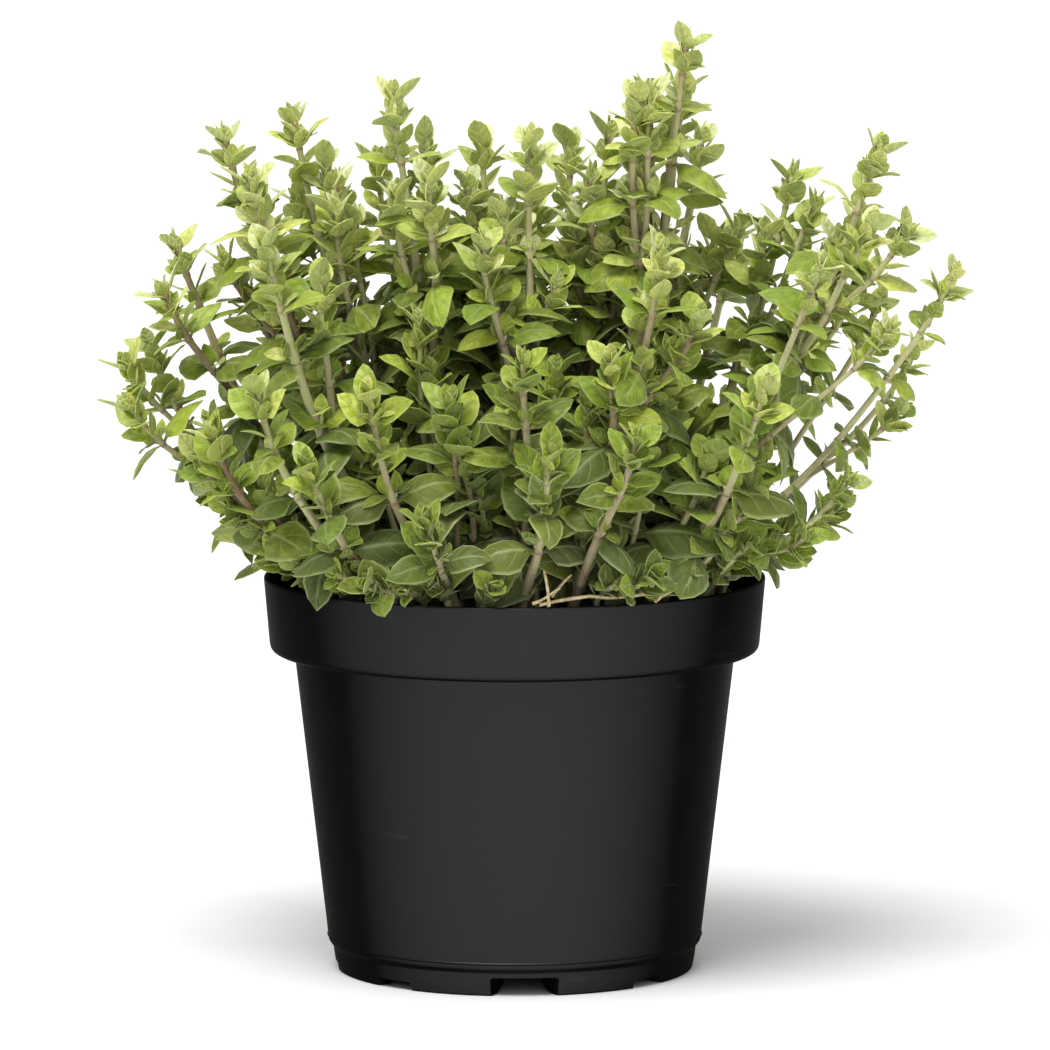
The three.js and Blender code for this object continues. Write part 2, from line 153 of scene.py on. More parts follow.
def makePotPlastic():
    # Thermoformed black polypropylene: satin, faintly drawn out downwards, with a few dull scuffs.
    material, tree, shader = newMaterial("blackPolypropylene")
    place = addNode(tree, "TexCoord").outputs["Object"]
    drawn = addNode(tree, "Mapping", {"Vector": place, "Scale": (1, 1, 0.1)})
    rubbed = addNode(tree, "Mapping", {"Vector": place, "Scale": (0.5, 0.5, 2.4), "Rotation": (0.1, 0, 0)})
    waves = addNode(tree, "TexNoise", {"Vector": drawn, "Scale": perMm(13), "Detail": 1.0})
    clouds = addNode(tree, "TexNoise", {"Vector": place, "Scale": perMm(26), "Detail": 3.0})
    grain = addNode(tree, "TexNoise", {"Vector": place, "Scale": perMm(0.5), "Detail": 2.0})
    marks = addNode(tree, "TexNoise", {"Vector": rubbed, "Scale": perMm(9), "Detail": 5.0})
    scuff = addNode(tree, "MapRange", {"Value": marks, "From Min": 0.68, "From Max": 0.78})
    body = addNode(tree, "ValToRGB", {"Fac": clouds}, [(0.3, "#09090a"), (0.7, "#0f0f10")])
    colour = addNode(tree, "Mix", {0: scuff, 6: body, 7: hexColor("#262524")}, data_type="RGBA")
    gloss = addNode(tree, "MapRange", {
        "Value": clouds, "From Min": 0.3, "From Max": 0.75, "To Min": 0.4, "To Max": 0.5,
    })
    dulled = addNode(tree, "Math", {0: scuff, 1: 0.15, 2: gloss}, operation="MULTIPLY_ADD")
    fine = addNode(tree, "Math", {0: grain, 1: 0.1}, operation="MULTIPLY")
    height = addNode(tree, "Math", {0: waves, 1: 6.0, 2: fine}, operation="MULTIPLY_ADD")
    bump = addNode(tree, "Bump", {"Height": height, "Strength": 0.35, "Distance": 0.06 * mm})
    # the gloss dies away at a slant, where a white floor would whiten the wall
    slant = addNode(tree, "LayerWeight", {"Blend": 0.5}).outputs["Facing"]
    shine = addNode(tree, "MapRange", {
        "Value": slant, "From Max": 0.44, "To Min": 0.43, "To Max": 0.004,
    }, interpolation_type="SMOOTHSTEP")
    setInputs(tree, shader, {
        "Base Color": colour, "Roughness": dulled, "IOR": 1.45, "Normal": bump, "Specular IOR Level": shine,
    })
    return material


def makePeat():
    # Moist peat and bark mix: nearly black crumbs with brown fibres, and no gloss.
    material, tree, shader = newMaterial("moistPeat")
    place = addNode(tree, "TexCoord").outputs["Object"]
    blotches = addNode(tree, "TexNoise", {"Vector": place, "Scale": perMm(2.4), "Detail": 4.0})
    stops = [(0.35, "#0d0806"), (0.55, "#20150e"), (0.75, "#3d2a1b")]
    colour = addNode(tree, "ValToRGB", {"Fac": blotches}, stops)
    crumbs = addNode(tree, "TexNoise", {"Vector": place, "Scale": perMm(0.8), "Detail": 4.0})
    bump = addNode(tree, "Bump", {"Height": crumbs, "Distance": 0.5 * mm})
    setInputs(tree, shader, {"Base Color": colour, "Roughness": 0.92, "Normal": bump})
    return material


def makeLeafSkin(name, bodyStops, rim, veinGain):
    # Oregano leaf: soft, slightly hairy skin with a pale margin that is partly real hairs and partly a painted
    # highlight where the edges catch light, a sunk midrib and a few curved side veins.
    material, tree, shader = newMaterial(name)
    leafMap = addNode(tree, "UVMap", uv_map="leafMap")
    across, along = addNode(tree, "SeparateXYZ", {0: leafMap}).outputs[:2]
    place = addNode(tree, "TexCoord").outputs["Object"]
    age, tint = (addNode(tree, "Attribute", attribute_name=layer).outputs["Fac"] for layer in plantLayers)

    centred = addNode(tree, "Math", {0: across, 1: 2.0, 2: -1.0}, operation="MULTIPLY_ADD")
    fromMidrib = addNode(tree, "Math", {0: centred}, operation="ABSOLUTE")
    midrib = addNode(tree, "MapRange", {"Value": fromMidrib, "From Min": 0.15, "From Max": 0.02})
    spaced = addNode(tree, "Math", {0: along, 1: 5.0}, operation="MULTIPLY")
    slanted = addNode(tree, "Math", {0: fromMidrib, 1: -0.95, 2: spaced}, operation="MULTIPLY_ADD")
    toVein = addNode(tree, "Math", {0: slanted, 1: 0.5}, operation="PINGPONG")
    lateral = addNode(tree, "MapRange", {"Value": toVein, "From Min": 0.09, "From Max": 0.01, "To Max": 0.6})
    inner = addNode(tree, "MapRange", {"Value": fromMidrib, "From Min": 0.95, "From Max": 0.5})
    faded = addNode(tree, "Math", {0: lateral, 1: inner}, operation="MULTIPLY")
    veins = addNode(tree, "Math", {0: midrib, 1: faded}, operation="MAXIMUM")
    # pale margin: partly the hairs of a real margin, partly a painted highlight where the leaf's edges catch
    # light
    edge = addNode(tree, "MapRange", {"Value": fromMidrib, "From Min": 0.82, "From Max": 1.0, "To Max": 0.6})
    marked = addNode(tree, "Math", {0: age, 1: 0.8, 2: 0.35}, operation="MULTIPLY_ADD")
    paleMarginAndHighlight = addNode(tree, "Math", {0: edge, 1: marked}, operation="MULTIPLY")

    mottle = addNode(tree, "TexNoise", {"Vector": place, "Scale": perMm(2.2), "Detail": 3.0})
    uneven = addNode(tree, "Math", {0: mottle, 1: 0.5, 2: -0.25}, operation="MULTIPLY_ADD")
    # the age layer brings painted shade here as well: low leaves come out darker on the ramp
    shade = addNode(tree, "Math", {0: age, 1: uneven}, operation="ADD")
    body = addNode(tree, "ValToRGB", {"Fac": shade}, bodyStops)
    veinPale = addNode(tree, "Math", {0: veins, 1: veinGain}, operation="MULTIPLY")
    veinShare = addNode(tree, "Math", {0: veinPale, 1: marked}, operation="MULTIPLY")
    veined = addNode(tree, "Mix", {0: veinShare, 6: body, 7: hexColor(rim)}, data_type="RGBA")
    edged = addNode(tree, "Mix", {0: paleMarginAndHighlight, 6: veined, 7: hexColor(rim)}, data_type="RGBA")
    hue = addNode(tree, "MapRange", {"Value": tint, "To Min": 0.488, "To Max": 0.514})
    value = addNode(tree, "MapRange", {"Value": tint, "To Min": 1.14, "To Max": 0.84})
    colour = addNode(tree, "HueSaturation", {"Hue": hue, "Value": value, "Color": edged})

    pits = addNode(tree, "TexNoise", {"Vector": place, "Scale": perMm(0.5), "Detail": 2.0})
    halfPits = addNode(tree, "Math", {0: pits, 1: 0.5}, operation="MULTIPLY")
    quilt = addNode(tree, "Math", {0: toVein, 1: inner}, operation="MULTIPLY")
    swollen = addNode(tree, "Math", {0: quilt, 1: 1.6, 2: halfPits}, operation="MULTIPLY_ADD")
    height = addNode(tree, "Math", {0: veins, 1: -1.0, 2: swollen}, operation="MULTIPLY_ADD")
    bump = addNode(tree, "Bump", {"Height": height, "Strength": 0.8, "Distance": 0.3 * mm})
    setInputs(tree, shader, {
        "Base Color": colour, "Normal": bump, "Roughness": 0.48, "IOR": 1.4,
        "Sheen Weight": 0.1, "Sheen Roughness": 0.4, "Specular IOR Level": 0.4,
        "Subsurface Weight": 0.32, "Subsurface Radius": (0.8, 1.0, 0.3), "Subsurface Scale": 0.8 * mm,
    })
    return material


def makeStemBark():
    # Square herb stem: hairy pale green at the top, turning to buff and purplish brown wood below.
    material, tree, shader = newMaterial("oreganoStem")
    place = addNode(tree, "TexCoord").outputs["Object"]
    drawn = addNode(tree, "Mapping", {"Vector": place, "Scale": (1, 1, 0.2)})
    age, tint = (addNode(tree, "Attribute", attribute_name=layer).outputs["Fac"] for layer in plantLayers)
    streaks = addNode(tree, "TexNoise", {"Vector": drawn, "Scale": perMm(0.9), "Detail": 3.0})
    patches = addNode(tree, "TexNoise", {"Vector": place, "Scale": perMm(7), "Detail": 1.0})
    uneven = addNode(tree, "Math", {0: streaks, 1: 0.8, 2: -0.4}, operation="MULTIPLY_ADD")
    patched = addNode(tree, "Math", {0: patches, 1: 0.9, 2: -0.45}, operation="MULTIPLY_ADD")
    blotched = addNode(tree, "Math", {0: uneven, 1: patched}, operation="ADD")
    shade = addNode(tree, "Math", {0: age, 1: blotched}, operation="ADD")
    paleStops = [(0.0, "#c3ca86"), (0.3, "#bdbb88"), (0.65, "#b0a47e"), (1.0, "#8c7860")]
    darkStops = [(0.0, "#a2a665"), (0.35, "#95775f"), (1.0, "#5f443b")]
    pale = addNode(tree, "ValToRGB", {"Fac": shade}, paleStops)
    dark = addNode(tree, "ValToRGB", {"Fac": shade}, darkStops)
    darkShare = addNode(tree, "MapRange", {"Value": tint, "From Min": 0.4, "From Max": 0.85})
    colour = addNode(tree, "Mix", {0: darkShare, 6: pale, 7: dark}, data_type="RGBA")
    bump = addNode(tree, "Bump", {"Height": streaks, "Strength": 0.9, "Distance": 0.4 * mm})
    setInputs(tree, shader, {"Base Color": colour, "Roughness": 0.68, "Normal": bump, "Sheen Weight": 0.15})
    return material


def makeStraw():
    # Last year's stalk, bleached and dry: pale buff with darker fibres, matt.
    material, tree, shader = newMaterial("bleachedStraw")
    place = addNode(tree, "TexCoord").outputs["Object"]
    fibres = addNode(tree, "TexNoise", {"Vector": place, "Scale": perMm(1.2), "Detail": 3.0})
    stops = [(0.3, "#a08b62"), (0.55, "#cbb98c"), (0.75, "#e0d4b2")]
    colour = addNode(tree, "ValToRGB", {"Fac": fibres}, stops)
    bump = addNode(tree, "Bump", {"Height": fibres, "Strength": 0.5, "Distance": 0.2 * mm})
    setInputs(tree, shader, {"Base Color": colour, "Roughness": 0.75, "Normal": bump})
    return material


# the dark end of each leaf ramp is reached by old leaves and by painted shade low in the plant
upperStops = [(0.0, "#dde2a4"), (0.12, "#c7d06d"), (0.3, "#9aad36"), (0.6, "#697626"), (1.0, "#535b32")]
underStops = [(0.0, "#cbd184"), (0.3, "#a1ac50"), (1.0, "#7e8a58")]
potPlastic = makePotPlastic()
peat = makePeat()
leafUpper = makeLeafSkin("oreganoLeafUpper", upperStops, "#b9c48c", 0.4)
leafUnder = makeLeafSkin("oreganoLeafUnder", underStops, "#c2ca9a", 0.6)
stemBark = makeStemBark()
straw = makeStraw()
plantSkins = [stemBark, leafUpper, leafUnder]
stemSkin, upperSkin, underSkin = range(3)
print("materials ready")

potForm = {
    "collarFootRadius": 63.6, "collarFootZ": 83.5, "neckRadius": 57.4, "wall": 1.3,
    "creaseRadius": 48.6, "creaseZ": 7.4, "ringRadius": 47.1, "ringZ": 3.4,
    "seamZ": 8.7, "seamHeight": 0.3, "seamHalf": 0.35,  # a fine raised line round the wall, over the crease
    "groovePast": 0.35, "grooveUnder": 1.3,  # the groove's upper edge, from the ring and from the crease
    "weld": 0.001, "sharpFrom": 38,  # in degrees: flatter edges are shaded smooth
    "footRadius": 46.5, "footDepth": 8.5, "footRound": 7, "footSteps": 6, "floorZ": 5.0, "floorWall": 1.5,
    "sides": 160,
    "notches": 8, "wideEvery": 4, "notchTurn": 3.2,
    "wideNotch": (21.5, 8, 4.9), "narrowNotch": (13, 8, 2.2),  # outer width, inner width and height
    "notchRound": 0.9, "notchSteps": 3, "cutPast": 3,
    "drainRadius": 3.2, "drainFromAxis": 41.5, "drainSides": 16, "drainRaise": 0.5,
}
# How far each corner of the pot's profile is rounded, from the foot ring up and down again inside.
potRounds = {
    "foot": 0.6, "groove": 0.3, "crease": 0.5, "seam": 0.12, "neck": 0.7, "collar": 2.0,
    "lip": 0.75, "innerLip": 0.55, "inside": 0.9,
}


def roundedPath(corners, steps=4):
    # corners are (radius, z, rounding); each is replaced by a short arc
    points = []
    for i, (radius, z, rounding) in enumerate(corners):
        here = Vector((radius, 0, z))
        if not rounding:
            points.append(here)
            continue
        before = Vector((corners[i - 1][0], 0, corners[i - 1][1]))
        after = Vector((corners[i + 1][0], 0, corners[i + 1][1]))
        start = here + (before - here).normalized() * rounding
        end = here + (after - here).normalized() * rounding
        for k in range(steps + 1):
            share = k / steps
            points.append(start.lerp(here, share).lerp(here.lerp(end, share), share))
    return points


def turnedForm(bm, points, sides):
    verts = [bm.verts.new(point) for point in points]
    edges = [bm.edges.new(pair) for pair in zip(verts, verts[1:])]
    bmesh.ops.spin(
        bm, geom=verts + edges, cent=(0, 0, 0), axis=(0, 0, 1), angle=fullTurn, steps=sides, use_merge=True
    )
    bmesh.ops.remove_doubles(bm, verts=bm.verts, dist=potForm["weld"])
    bmesh.ops.recalc_face_normals(bm, faces=bm.faces)


def potCorners():
    form, rounds = potForm, potRounds
    wall, floorTop = form["wall"], form["floorZ"] + form["floorWall"]
    slope = (form["neckRadius"] - form["creaseRadius"]) / (form["collarFootZ"] - form["creaseZ"])
    foot = []
    for i in range(form["footSteps"] + 1):
        angle = i / form["footSteps"] * math.pi / 2
        radius = form["footRadius"] - form["footDepth"] + form["footRound"] * (1 - math.cos(angle))
        foot.append((radius, form["floorZ"] * (1 - math.sin(angle)), 0))
    seam = []
    for level, proud in ((-1, 0), (0, 1), (1, 0)):
        z = form["seamZ"] + level * form["seamHalf"]
        radius = form["creaseRadius"] + slope * (z - form["creaseZ"]) + proud * form["seamHeight"]
        seam.append((radius, z, rounds["seam"]))
    return [
        (0, form["floorZ"], 0),
        *foot,
        (form["footRadius"], 0, rounds["foot"]),
        (form["ringRadius"], form["ringZ"], rounds["groove"]),
        (form["ringRadius"] + form["groovePast"], form["creaseZ"] - form["grooveUnder"], rounds["groove"]),
        (form["creaseRadius"], form["creaseZ"], rounds["crease"]),
        *seam,
        (form["neckRadius"], form["collarFootZ"], rounds["neck"]),
        (form["collarFootRadius"], form["collarFootZ"], rounds["collar"]),
        (rimRadius, potHeight, rounds["lip"]),
        (rimRadius - wall, potHeight, rounds["innerLip"]),
        (form["collarFootRadius"] - wall, form["collarFootZ"] + wall, rounds["inside"]),
        (form["neckRadius"] - wall, form["collarFootZ"] + wall, rounds["inside"]),
        (form["creaseRadius"] - wall, floorTop, rounds["inside"]),
        (0, floorTop, 0),
    ]


def addNotch(bm, outerWidth, innerWidth, height):
    # a wedge that opens the foot ring, wide outside, with rounded upper edges
    form, past = potForm, potForm["cutPast"]
    outer = form["ringRadius"] + past
    inner = form["footRadius"] - form["footDepth"] - past / 2
    wedge = bmesh.ops.create_cube(bm, size=1)["verts"]
    for v in wedge:
        front, high = v.co.y < 0, v.co.z > 0
        v.co = Vector((v.co.x * (outerWidth if front else innerWidth), -(outer if front else inner),
                       height if high else -past))
    edges = onceEach(e for v in wedge for e in v.link_edges)
    upper = [e for e in edges if all(v.co.z > 0 for v in e.verts)
             and abs(e.verts[0].co.y - e.verts[1].co.y) > past]
    rounding = min(form["notchRound"], height / 3)
    bmesh.ops.bevel(
        bm, geom=upper, offset=rounding, segments=form["notchSteps"], profile=0.5, affect="EDGES",
        material=-1,
    )


def makeCuts():
    form = potForm
    cuts = bmesh.new()
    floorTop = form["floorZ"] + form["floorWall"]
    for i in range(form["notches"]):
        turn = Matrix.Rotation(math.radians(form["notchTurn"]) + i * fullTurn / form["notches"], 4, "Z")
        done = set(cuts.verts)
        addNotch(cuts, *form["narrowNotch" if i % form["wideEvery"] else "wideNotch"])
        bmesh.ops.create_cone(
            cuts, cap_ends=True, segments=form["drainSides"], radius1=form["drainRadius"],
            radius2=form["drainRadius"], depth=floorTop,
            matrix=Matrix.Translation((0, -form["drainFromAxis"], form["floorZ"] + form["drainRaise"])),
        )
        bmesh.ops.transform(cuts, matrix=turn, verts=[v for v in cuts.verts if v not in done])
    return meshObject(cuts, "potCuts")


def makePot():
    body = bmesh.new()
    turnedForm(body, roundedPath(potCorners()), potForm["sides"])
    pot, cutter = meshObject(body, "potTurned"), makeCuts()
    cutting = pot.modifiers.new("cuts", "BOOLEAN")
    cutting.object = cutter
    cutting.solver = "EXACT"
    cutting.use_self = True
    depsgraph = bpy.context.evaluated_depsgraph_get()
    cut = bmesh.new()
    cut.from_mesh(pot.evaluated_get(depsgraph).to_mesh())
    for helper in (cutter, pot):
        bpy.data.objects.remove(helper)
    for face in cut.faces:
        face.smooth = True
        face.material_index = 0
    for edge in cut.edges:
        if len(edge.link_faces) == 2 and edge.calc_face_angle() > math.radians(potForm["sharpFrom"]):
            edge.smooth = False
    finishPiece(cut, "nurseryPot", [potPlastic], "pot", "pot")


makePot()
print("pot ready")

soilForm = {
    "rings": 26, "sides": 120, "sunk": 1.4, "gap": 0.4, "shelfGap": 1.6, "levelPower": 6,
    "rough": 1.1, "waves": ((0.11, 0.9), (0.35, 0.6), (0.9, 0.35)),  # how often they come, and their share
    "crumbs": 900, "smallest": 0.5, "largest": 1.7, "crumbLength": (0.8, 1.7), "crumbHeight": (0.5, 0.9),
    "crumbLift": 0.3, "crumbGap": 2,  # lift as a share of a crumb's size, and least gap to the wall
}


def soilHeight(x, y):
    place = Vector((x, y, 0))
    return sum(noise.noise(place * often) * share for often, share in soilForm["waves"])


def makeSoil():
    form = soilForm
    edgeRadius = potForm["collarFootRadius"] - potForm["wall"] - form["gap"]
    surface = soilTop - form["sunk"]
    body = bmesh.new()
    top = bmesh.ops.create_circle(body, cap_ends=True, segments=form["sides"], radius=edgeRadius)
    bmesh.ops.translate(body, vec=(0, 0, surface), verts=top["verts"])
    disc = body.faces[:]
    for _ in range(form["rings"]):
        step = edgeRadius / (form["rings"] + 1)
        bmesh.ops.inset_region(body, faces=disc, thickness=step, use_even_offset=True)
    for v in body.verts:
        inner = 1 - (v.co.xy.length / edgeRadius) ** form["levelPower"]
        v.co.z += soilHeight(v.co.x, v.co.y) * form["rough"] * inner
    skirt = [e for e in body.edges if e.is_boundary]
    for g in bmesh.ops.extrude_edge_only(body, edges=skirt)["geom"]:
        if isinstance(g, bmesh.types.BMVert):
            g.co.z = potForm["collarFootZ"] + potForm["wall"] + form["shelfGap"]
    bmesh.ops.contextual_create(body, geom=[e for e in body.edges if e.is_boundary])
    for i in range(form["crumbs"]):
        around = chance(i, 1, 1) * fullTurn
        out = math.sqrt(chance(i, 2, 1)) * (edgeRadius - form["crumbGap"])
        size = mixed(form["smallest"], form["largest"], chance(i, 3, 1) ** 2)
        x, y = out * math.cos(around), out * math.sin(around)
        turn = Quaternion((chance(i, 4, 1), chance(i, 5, 1), chance(i, 6, 1), chance(i, 7, 1))).normalized()
        crumbLength = size * mixed(*form["crumbLength"], chance(i, 8, 1))
        crumbHeight = size * mixed(*form["crumbHeight"], chance(i, 9, 1))
        shape = turn.to_matrix().to_4x4() @ Matrix.Diagonal((crumbLength, size, crumbHeight, 1))
        lift = Matrix.Translation((x, y, surface + soilHeight(x, y) + size * form["crumbLift"]))
        bmesh.ops.create_icosphere(body, subdivisions=1, radius=1, matrix=lift @ shape)
    smoothAll(body)
    bmesh.ops.recalc_face_normals(body, faces=body.faces)
    finishPiece(body, "pottingSoil", [peat], "soil", "soil")


makeSoil()
print("soil ready")

# Each stem: where it leaves the soil (x, y), where its topmost leaves end (x, y, z), how far its middle sags
# outwards, and where its side shoots end.
stems = [
    ((-48, 8), (-98, 10, 166), 9, [(-102.6, -12, 151)]),
    ((-43, 17), (-91, 27, 191), 6, [(-93, -5, 181)]),
    ((-30, -6), (-77, 4, 221), 5, [(-69, -16, 212)]),
    ((-22, 12), (-59, 20, 225), 4, [(-47, 3, 203)]),
    ((-11, 1), (-32, 1, 232), 3, [(-22, -21, 212)]),
    ((-16, 25), (-37, 38, 212), 3, []),
    ((-32, -19), (-65, -40, 197), 5, [(-50, -26, 187)]),
    ((-47, -22), (-80, -35, 148), 6, []),
    ((-40, -31), (-67, -56, 161), 5, []),
    ((-33, -38), (-54, -68, 143), 4, []),
    ((-20, -34), (-38, -63, 161), 5, []),
    ((-14, -46), (-23, -76, 129), 3, []),
    ((0, 14), (-9, 21, 219), 2, []),
    ((2, -14), (4, -12, 222), 0, [(-9, -27, 196)]),
    ((7, 34), (15, 46, 216), 3, []),
    ((12, 4), (25, 12, 222), 2, []),
    ((22, -2), (45, 1, 246), 3, [(31, -15, 233)]),
    ((24, 22), (50, 33, 219), 4, []),
    ((17, -30), (38, -55, 197), 4, [(24, -61, 169)]),
    ((31, 36), (60, 56, 191), 5, []),
    ((36, 14), (74, 19, 210), 6, []),
    ((36, -5), (96, -9, 219), 7, [(93, -34, 201)]),
    ((33, -23), (80, -50, 193), 6, [(99, -52, 176)]),
    ((46, 5), (99, 17, 181), 7, []),
    ((43, -14), (116, -16, 187), 9, [(104, -8, 150)]),
    ((48, 19), (109, 34, 163), 8, []),
    ((47, -22), (89, -32, 135), 5, [(77, -45, 120)]),
    ((51, 3), (90, 8, 124), 3, []),
    ((38, -33), (65, -62, 162), 5, []),
    ((14, -47), (32, -76, 151), 4, []),
    ((2, -49), (10, -77.4, 147), 3, []),
    ((4, -34), (2, -60, 169), 4, []),
    ((-27, -45), (-39, -69, 111), 0, []),
    ((24, -47), (37, -70, 114), 0, []),
    ((-41, 30), (-84, 58, 139), 6, []),
    ((-32, 34), (-68, 64, 172), 6, [(-47, 56, 205)]),
    ((-15, 46), (-36, 84, 163), 5, []),
    ((-3, 38), (-10, 74, 197), 5, []),
    ((8, 50), (14, 86, 157), 4, []),
    ((19, 44), (38, 76, 182), 5, []),
    ((36, 38), (68, 76, 152), 6, []),
    ((41, 24), (87, 53, 176), 6, []),
]
dryStalks = [
    ((-9, -27), (-15, -30, 122), 0, []),
    ((-17, -23), (-29, -31, 114), 0, []),
    ((10, -24), (33, -37, 109), 0, []),
]
stemForm = {
    "startZ": soilTop + 0.3, "footRadius": 1.45, "fullLength": 130, "thinnest": 0.6, "shootRadius": 0.95,
    "tipRadius": 0.7, "cornerShare": 1.12, "flatShare": 0.9, "rise": 9, "bareFoot": 5, "bendShare": 0.62,
    "forkShare": 0.5, "shootStart": 0.3, "shootSag": 3, "stepLength": 5, "underSoil": 4, "sides": 8,
    "taper": 1.4, "tipYouth": 0.75,  # how late a stem thins out, and how much younger its tip looks
    "knotWidth": 1.25, "knotHalf": 0.8, "knotAge": 0.15, "knotTint": 0.75,  # the ring that carries each pair
    "waver": 0.9, "waverEvery": 9, "waverSkew": 1.3,  # sideways bends of each stem
    "aimOver": 0.06,  # share of its length, either way, over which a stem's direction is taken
    "bareFrom": 45,  # further than this from the tip, few leaf axils bear a shoot
    "topReach": 5,  # how far the topmost leaves reach past the end of their stem
    "dryTipRadius": 0.63,
}
keyStep = 10  # a stem's own lines have keys within one step, which seed all that grows on them
placedKey, freeKey = 50, 4  # where the keys of its finer side shoots start
pairForm = {"first": 1.5, "gap": 5.0, "gapGrowth": 1.5, "mostGap": 16.5}
# Finer side shoots that fill the middle of the plant, bent in from the stem that carries them.
sideForm = {
    "perStem": 4, "mostAway": 55, "highTip": 212, "leastLength": 80, "lowest": 0.4, "highest": 0.62,
    "leastDown": 6, "mostDown": 34, "leastAside": 7, "mostAside": 17, "turn": 2.0, "sag": 2, "width": 0.78,
    "leafShare": 0.95,
    "placed": {  # by stem: where each leaves it, as a share of its length, and where its leaves end
        0: [(0.62, (-103.6, 0, 161)), (0.35, (-86, -4, 132))],
        3: [(0.6, (-50, 14, 214))],
        7: [(0.6, (-85, -22, 141)), (0.45, (-77, -24, 127)), (0.35, (-72, -14, 117))],
        12: [(0.6, (-13, 8, 209))],
        15: [(0.62, (20, -6, 212)), (0.6, (30, 2, 206)), (0.6, (15, 0, 201))],
        20: [(0.6, (66, 12, 196)), (0.6, (80, 10, 203))],
        21: [(0.62, (104, -14, 197))],
        28: [(0.35, (65, -46, 132)), (0.45, (58, -44, 146))],
    },
}


def outwardFrom(place):
    # the level direction away from the pot's axis
    return Vector((place.x, place.y, 0)).normalized()


def growthLine(start, low, reach, sag, key, width=None, leafShare=1.0):
    length = (reach - start).length - stemForm["topReach"]
    end = start.lerp(reach, length / (length + stemForm["topReach"]))
    high = start.lerp(end, stemForm["bendShare"]) + outwardFrom(end - start) * sag
    high.z -= sag
    if width is None:
        grown = min(1, length / stemForm["fullLength"])
        width = stemForm["footRadius"] * mixed(stemForm["thinnest"], 1, grown)
    return {
        "key": key, "curve": (start, low, high, end), "length": length, "turn": chance(key, 0, 9) * math.pi,
        "width": width, "leafShare": leafShare, "tint": 0.5, "age": 0.5,
        "bareFrom": stemForm["bareFrom"], "leafyFor": length,
    }


def placeAt(line, share):
    a, b, c, d = line["curve"]
    rest = 1 - share
    smooth = a * rest ** 3 + b * (3 * rest * rest * share) + c * (3 * rest * share * share) + d * share ** 3
    waver = share * line["length"] / stemForm["waverEvery"] + line["key"]
    strength = stemForm["waver"] * min(1, 4 * share * rest)
    return smooth + Vector((math.sin(waver), math.cos(waver * stemForm["waverSkew"]), 0)) * strength


def directionAt(line, share):
    reach = stemForm["aimOver"]
    return (placeAt(line, min(1, share + reach)) - placeAt(line, max(0, share - reach))).normalized()


def stemLines(plan, key):
    foot, tip, sag, shoots = plan
    start = Vector((*foot, stemForm["startZ"]))
    main = growthLine(start, start + Vector((0, 0, stemForm["rise"])), Vector(tip), sag, key)
    lines = [main]
    sag, width = stemForm["shootSag"], stemForm["shootRadius"]
    for i, shootTip in enumerate(shoots):
        fork, reach = placeAt(main, stemForm["forkShare"]), Vector(shootTip)
        low = fork.lerp(reach, stemForm["shootStart"])
        lines.append(growthLine(fork, low, reach, sag, key + i + 1, width))
    return lines


def sideLine(main, share, reach, key):
    fork = placeAt(main, share)
    low = fork.lerp(reach, stemForm["shootStart"])
    return growthLine(fork, low, reach, sideForm["sag"], key, sideForm["width"], sideForm["leafShare"])


def sideLines(main, key, placed):
    form, tip = sideForm, main["curve"][3]
    lines = [sideLine(main, share, Vector(reach), key + placedKey + i)
             for i, (share, reach) in enumerate(placed)]
    if main["length"] < form["leastLength"] or (abs(tip.x) > form["mostAway"] and tip.z < form["highTip"]):
        return lines
    for i in range(form["perStem"]):
        aside = -outwardFrom(tip) * mixed(form["leastAside"], form["mostAside"], chance(key, i, 72))
        aside.rotate(Quaternion((0, 0, 1), spread(key, i, 73, form["turn"])))
        down = mixed(form["leastDown"], form["mostDown"], chance(key, i, 74))
        reach = tip + aside - Vector((0, 0, down))
        share = mixed(form["lowest"], form["highest"], chance(key, i, 71))
        lines.append(sideLine(main, share, reach, key + freeKey + i))
    return lines


def across(along, angle):
    # the direction square to a line, at an angle round it
    side = along.cross(Vector((1, 0, 0))).normalized()
    front = side.cross(along)
    return side * math.cos(angle) + front * math.sin(angle)


def raised(radial, along, pitch):
    # a direction out of a line that rises along it
    return radial * math.cos(pitch) + along * math.sin(pitch)


def squared(vector, direction):
    # what of a vector is square to a direction, at unit length
    return (vector - direction * vector.dot(direction)).normalized()


def pairDistances(length):
    distances, distance, gap = [], pairForm["first"], pairForm["gap"]
    while distance < length - stemForm["bareFoot"]:
        distances.append(distance)
        distance += gap
        gap = min(gap * pairForm["gapGrowth"], pairForm["mostGap"])
    return distances


def tubeRings(line):
    # (share of the length, width share, is a knot): even steps, with three rings at each knot
    length, half = line["length"], stemForm["knotHalf"]
    knots = [length - distance for distance in pairDistances(length)]
    rings = [(at + level * half, mixed(stemForm["knotWidth"], 1, abs(level)), level == 0)
             for at in knots for level in (-1, 0, 1)]
    steps = max(3, round(length / stemForm["stepLength"]))
    for i in range(steps + 1):
        at = i * length / steps
        if i in (0, steps) or all(abs(at - knot) > 2 * half for knot in knots):
            rings.append((at, 1, False))
    return [(at / length, width, isKnot) for at, width, isKnot in sorted(rings) if 0 <= at <= length]


def nextRing(bm, ring):
    # extrudes a ring of vertices and gives the new ring in the same order
    members = set(ring)
    edges = onceEach(e for v in ring for e in v.link_edges if e.is_boundary or e.is_wire)
    edges = [e for e in edges if e.verts[0] in members and e.verts[1] in members]
    extruded = bmesh.ops.extrude_edge_only(bm, edges=edges)["geom"]
    made = {g for g in extruded if isinstance(g, bmesh.types.BMVert)}
    return [next(e.other_vert(v) for e in v.link_edges if e.other_vert(v) in made) for v in ring]


